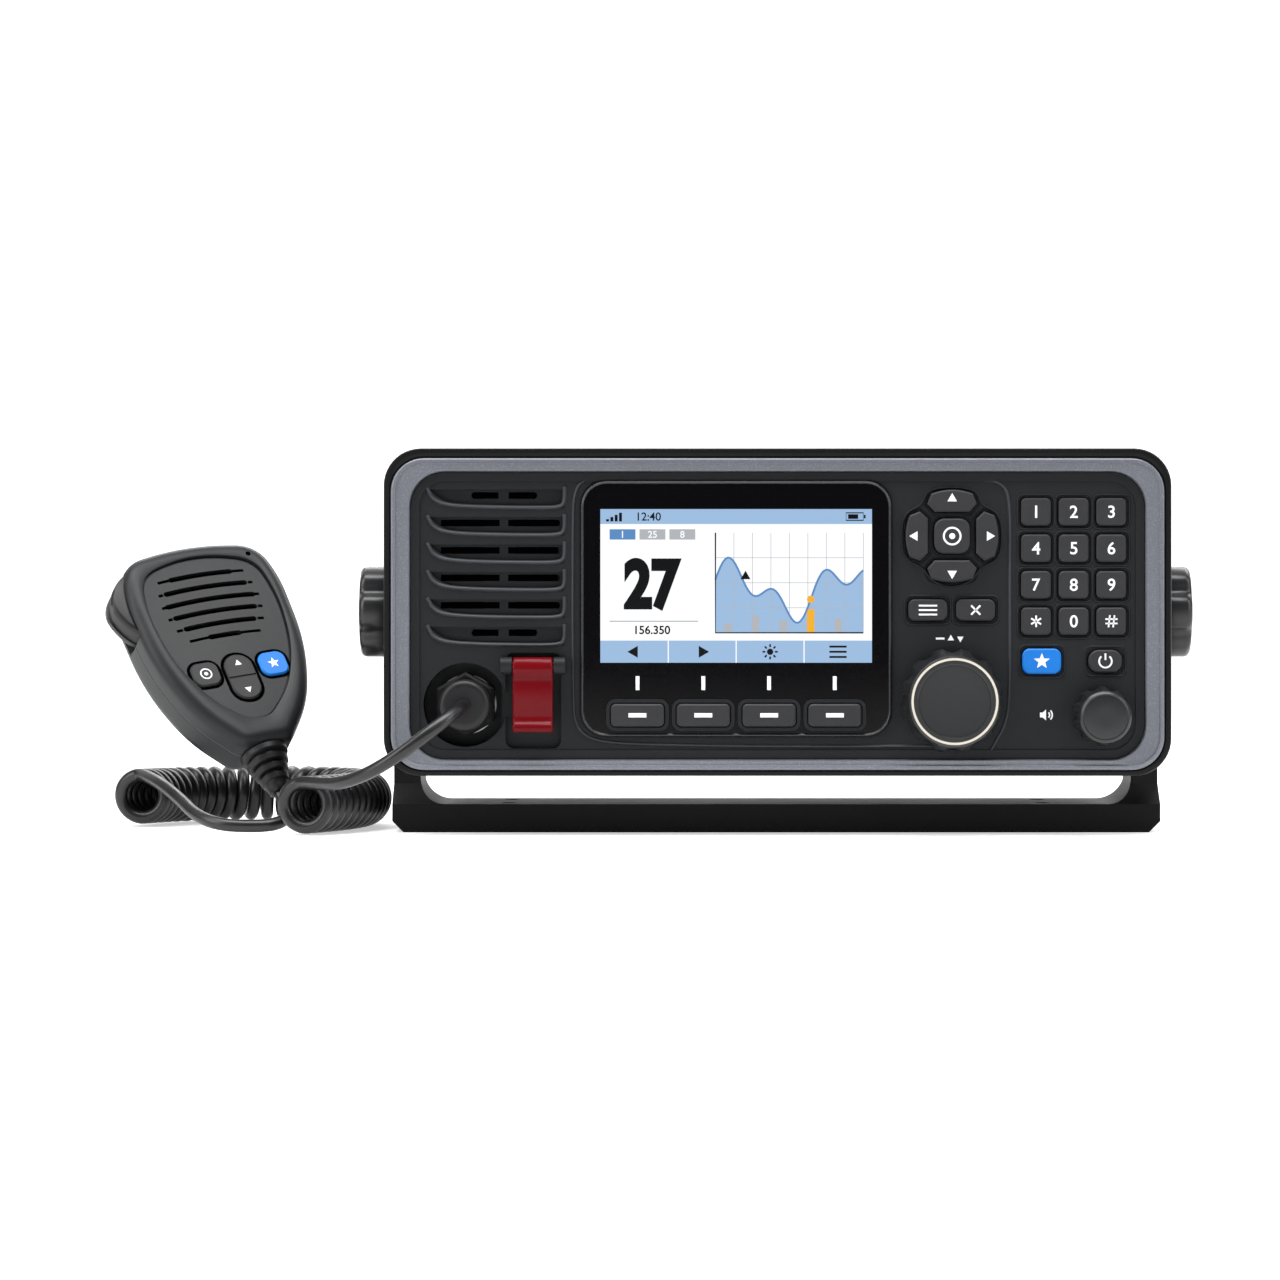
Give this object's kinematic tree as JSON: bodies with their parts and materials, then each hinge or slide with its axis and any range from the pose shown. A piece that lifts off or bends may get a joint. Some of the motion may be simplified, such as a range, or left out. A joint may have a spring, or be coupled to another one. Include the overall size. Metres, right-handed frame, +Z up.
{
  "type": "vhf marine radio",
  "caption": "Fixed-mount marine radio on a tilting U bracket, with colour display, keypad, rotary knobs, distress key under a lid, and a hand microphone on a curly cord.",
  "frame": {"origin": "centre of the mounting bracket's foot, on the surface it stands on", "axes": "+Z up, +X to the user's right along the tilt axis, the radio's face looks along -Y"},
  "size_m": [0.3903, 0.1618, 0.135],
  "materials": {
    "bracket_plastic": "fine textured black moulding",
    "chassis_paint": "matt black paint on die casting",
    "black_shell": "satin black moulding",
    "silver_paint": "slate silver metallic paint with fine sparkle",
    "panel_plastic": "fine textured charcoal plastic",
    "window_gloss": "gloss black display lens",
    "screen": "lit liquid crystal display",
    "speaker_paper": "black cone and frame",
    "board": "green solder mask",
    "seal_rubber": "matt black rubber",
    "steel": "plain steel",
    "plated": "nickel plating",
    "plug_rubber": "satin moulded rubber",
    "knob_plastic": "satin black plastic",
    "red_clear": "translucent red plastic",
    "red_key": "matt red rubber",
    "key_rubber": "matt charcoal silicone",
    "blue_rubber": "matt blue silicone",
    "mic_plastic": "fine textured charcoal plastic",
    "cord_rubber": "satin black polyurethane"
  },
  "bodies": {
    "base": {"bracket": "bracket_plastic", "cord_lead_radio": "cord_rubber", "cord_coil": "cord_rubber", "cord_lead_mic": "cord_rubber", "mic_boot": "plug_rubber", "mic_front_shell": "mic_plastic", "mic_rear_shell": "mic_plastic", "mic_speaker": "speaker_paper"},
    "radio": {"rear_chassis": "chassis_paint", "front_bezel": "black_shell", "trim_frame": "silver_paint", "front_panel": "panel_plastic", "display_window": "window_gloss", "lcd_module": "screen", "speaker": "speaker_paper", "circuit_boards": "board", "rubber_seals": "seal_rubber", "case_screws": "steel", "mic_socket": "steel", "plug_nut": "black_shell", "plug_body": "plug_rubber", "antenna_socket": "plated", "rear_sockets": "seal_rubber"},
    "channel_push": {"channel_shaft": "steel"},
    "channel_dial": {"channel_knob": "knob_plastic"},
    "volume_push": {"volume_shaft": "steel"},
    "volume_dial": {"volume_knob": "knob_plastic"},
    "left_knob": {"side_knob_left": "knob_plastic"},
    "right_knob": {"side_knob_right": "knob_plastic"},
    "distress_cover": {"distress_lid": "red_clear"},
    "distress_press": {"distress_button": "red_key"},
    "mic_talk": {"mic_talk_bar": "key_rubber"},
    "mic_left": {"mic_left_key": "key_rubber"},
    "mic_blue": {"mic_blue_key": "blue_rubber"},
    "mic_updown": {"mic_rocker": "key_rubber"},
    "key_1_cap": {"key_1": "key_rubber"},
    "key_2_cap": {"key_2": "key_rubber"},
    "key_3_cap": {"key_3": "key_rubber"},
    "key_4_cap": {"key_4": "key_rubber"},
    "key_5_cap": {"key_5": "key_rubber"},
    "key_6_cap": {"key_6": "key_rubber"},
    "key_7_cap": {"key_7": "key_rubber"},
    "key_8_cap": {"key_8": "key_rubber"},
    "key_9_cap": {"key_9": "key_rubber"},
    "key_star_cap": {"key_star": "key_rubber"},
    "key_0_cap": {"key_0": "key_rubber"},
    "key_hash_cap": {"key_hash": "key_rubber"},
    "soft_key_1_cap": {"soft_key_1": "key_rubber"},
    "soft_key_2_cap": {"soft_key_2": "key_rubber"},
    "soft_key_3_cap": {"soft_key_3": "key_rubber"},
    "soft_key_4_cap": {"soft_key_4": "key_rubber"},
    "enter_key_cap": {"enter_key": "key_rubber"},
    "menu_key_cap": {"menu_key": "key_rubber"},
    "clear_key_cap": {"clear_key": "key_rubber"},
    "blue_key_cap": {"blue_key": "blue_rubber"},
    "power_key_cap": {"power_key": "key_rubber"},
    "up_key_cap": {"up_key": "key_rubber"},
    "left_key_cap": {"left_key": "key_rubber"},
    "down_key_cap": {"down_key": "key_rubber"},
    "right_key_cap": {"right_key": "key_rubber"}
  },
  "joints": [
    {"name": "tilt", "type": "hinge", "parent": "base", "child": "radio", "pos_m": [0, 0, 0.078], "axis": [-1, 0, 0], "range_deg": [-8, 20], "deforming": ["cord_lead_radio"]},
    {"name": "left_knob_turn", "type": "hinge", "parent": "radio", "child": "left_knob", "pos_m": [-0.148, 0, 0.078], "axis": [1, 0, 0], "continuous": true},
    {"name": "right_knob_turn", "type": "hinge", "parent": "radio", "child": "right_knob", "pos_m": [0.148, 0, 0.078], "axis": [1, 0, 0], "continuous": true},
    {"name": "channel_press", "type": "slide", "parent": "radio", "child": "channel_push", "axis": [0, 1, 0], "range_m": [0, 0.0005], "stiffness_N_per_m": 1500, "springref_m": -0.0006},
    {"name": "channel_turn", "type": "hinge", "parent": "channel_push", "child": "channel_dial", "pos_m": [0.0606, -0.052, 0.0473], "axis": [0, 1, 0], "continuous": true},
    {"name": "volume_press", "type": "slide", "parent": "radio", "child": "volume_push", "axis": [0, 1, 0], "range_m": [0, 0.0005], "stiffness_N_per_m": 1500, "springref_m": -0.0006},
    {"name": "volume_turn", "type": "hinge", "parent": "volume_push", "child": "volume_dial", "pos_m": [0.1127, -0.052, 0.0419], "axis": [0, 1, 0], "continuous": true},
    {"name": "distress_cover_hinge", "type": "hinge", "parent": "radio", "child": "distress_cover", "pos_m": [-0.08495, -0.0532, 0.0594], "axis": [-1, 0, 0], "range_deg": [0, 100], "stiffness_Nm_per_rad": 0.0012, "springref_deg": -20.05},
    {"name": "distress_key_press", "type": "slide", "parent": "radio", "child": "distress_press", "axis": [0, 1, 0], "range_m": [0, 0.001], "stiffness_N_per_m": 450, "springref_m": -0.0006},
    {"name": "mic_talk_press", "type": "slide", "parent": "base", "child": "mic_talk", "axis": [0.8541, 0.5, 0.1429], "range_m": [0, 0.0015], "stiffness_N_per_m": 600, "springref_m": -0.0006},
    {"name": "mic_left_press", "type": "slide", "parent": "base", "child": "mic_left", "axis": [-0.3446, 0.75, -0.5646], "range_m": [0, 0.0008], "stiffness_N_per_m": 450, "springref_m": -0.0006},
    {"name": "mic_blue_press", "type": "slide", "parent": "base", "child": "mic_blue", "axis": [-0.3446, 0.75, -0.5646], "range_m": [0, 0.0008], "stiffness_N_per_m": 450, "springref_m": -0.0006},
    {"name": "mic_updown_rock", "type": "hinge", "parent": "base", "child": "mic_updown", "pos_m": [-0.19212, -0.00298, 0.05208], "axis": [0.8541, 0.5, 0.1429], "range_deg": [-4, 4], "stiffness_Nm_per_rad": 0.02},
    {"name": "key_1_press", "type": "slide", "parent": "radio", "child": "key_1_cap", "axis": [0, 1, 0], "range_m": [0, 0.0008], "stiffness_N_per_m": 450, "springref_m": -0.0006},
    {"name": "key_2_press", "type": "slide", "parent": "radio", "child": "key_2_cap", "axis": [0, 1, 0], "range_m": [0, 0.0008], "stiffness_N_per_m": 450, "springref_m": -0.0006},
    {"name": "key_3_press", "type": "slide", "parent": "radio", "child": "key_3_cap", "axis": [0, 1, 0], "range_m": [0, 0.0008], "stiffness_N_per_m": 450, "springref_m": -0.0006},
    {"name": "key_4_press", "type": "slide", "parent": "radio", "child": "key_4_cap", "axis": [0, 1, 0], "range_m": [0, 0.0008], "stiffness_N_per_m": 450, "springref_m": -0.0006},
    {"name": "key_5_press", "type": "slide", "parent": "radio", "child": "key_5_cap", "axis": [0, 1, 0], "range_m": [0, 0.0008], "stiffness_N_per_m": 450, "springref_m": -0.0006},
    {"name": "key_6_press", "type": "slide", "parent": "radio", "child": "key_6_cap", "axis": [0, 1, 0], "range_m": [0, 0.0008], "stiffness_N_per_m": 450, "springref_m": -0.0006},
    {"name": "key_7_press", "type": "slide", "parent": "radio", "child": "key_7_cap", "axis": [0, 1, 0], "range_m": [0, 0.0008], "stiffness_N_per_m": 450, "springref_m": -0.0006},
    {"name": "key_8_press", "type": "slide", "parent": "radio", "child": "key_8_cap", "axis": [0, 1, 0], "range_m": [0, 0.0008], "stiffness_N_per_m": 450, "springref_m": -0.0006},
    {"name": "key_9_press", "type": "slide", "parent": "radio", "child": "key_9_cap", "axis": [0, 1, 0], "range_m": [0, 0.0008], "stiffness_N_per_m": 450, "springref_m": -0.0006},
    {"name": "key_star_press", "type": "slide", "parent": "radio", "child": "key_star_cap", "axis": [0, 1, 0], "range_m": [0, 0.0008], "stiffness_N_per_m": 450, "springref_m": -0.0006},
    {"name": "key_0_press", "type": "slide", "parent": "radio", "child": "key_0_cap", "axis": [0, 1, 0], "range_m": [0, 0.0008], "stiffness_N_per_m": 450, "springref_m": -0.0006},
    {"name": "key_hash_press", "type": "slide", "parent": "radio", "child": "key_hash_cap", "axis": [0, 1, 0], "range_m": [0, 0.0008], "stiffness_N_per_m": 450, "springref_m": -0.0006},
    {"name": "soft_key_1_press", "type": "slide", "parent": "radio", "child": "soft_key_1_cap", "axis": [0, 1, 0], "range_m": [0, 0.0008], "stiffness_N_per_m": 450, "springref_m": -0.0006},
    {"name": "soft_key_2_press", "type": "slide", "parent": "radio", "child": "soft_key_2_cap", "axis": [0, 1, 0], "range_m": [0, 0.0008], "stiffness_N_per_m": 450, "springref_m": -0.0006},
    {"name": "soft_key_3_press", "type": "slide", "parent": "radio", "child": "soft_key_3_cap", "axis": [0, 1, 0], "range_m": [0, 0.0008], "stiffness_N_per_m": 450, "springref_m": -0.0006},
    {"name": "soft_key_4_press", "type": "slide", "parent": "radio", "child": "soft_key_4_cap", "axis": [0, 1, 0], "range_m": [0, 0.0008], "stiffness_N_per_m": 450, "springref_m": -0.0006},
    {"name": "enter_key_press", "type": "slide", "parent": "radio", "child": "enter_key_cap", "axis": [0, 1, 0], "range_m": [0, 0.0008], "stiffness_N_per_m": 450, "springref_m": -0.0006},
    {"name": "menu_key_press", "type": "slide", "parent": "radio", "child": "menu_key_cap", "axis": [0, 1, 0], "range_m": [0, 0.0008], "stiffness_N_per_m": 450, "springref_m": -0.0006},
    {"name": "clear_key_press", "type": "slide", "parent": "radio", "child": "clear_key_cap", "axis": [0, 1, 0], "range_m": [0, 0.0008], "stiffness_N_per_m": 450, "springref_m": -0.0006},
    {"name": "blue_key_press", "type": "slide", "parent": "radio", "child": "blue_key_cap", "axis": [0, 1, 0], "range_m": [0, 0.0008], "stiffness_N_per_m": 450, "springref_m": -0.0006},
    {"name": "power_key_press", "type": "slide", "parent": "radio", "child": "power_key_cap", "axis": [0, 1, 0], "range_m": [0, 0.0008], "stiffness_N_per_m": 450, "springref_m": -0.0006},
    {"name": "up_key_press", "type": "slide", "parent": "radio", "child": "up_key_cap", "axis": [0, 1, 0], "range_m": [0, 0.0008], "stiffness_N_per_m": 450, "springref_m": -0.0006},
    {"name": "left_key_press", "type": "slide", "parent": "radio", "child": "left_key_cap", "axis": [0, 1, 0], "range_m": [0, 0.0008], "stiffness_N_per_m": 450, "springref_m": -0.0006},
    {"name": "down_key_press", "type": "slide", "parent": "radio", "child": "down_key_cap", "axis": [0, 1, 0], "range_m": [0, 0.0008], "stiffness_N_per_m": 450, "springref_m": -0.0006},
    {"name": "right_key_press", "type": "slide", "parent": "radio", "child": "right_key_cap", "axis": [0, 1, 0], "range_m": [0, 0.0008], "stiffness_N_per_m": 450, "springref_m": -0.0006}
  ]
}
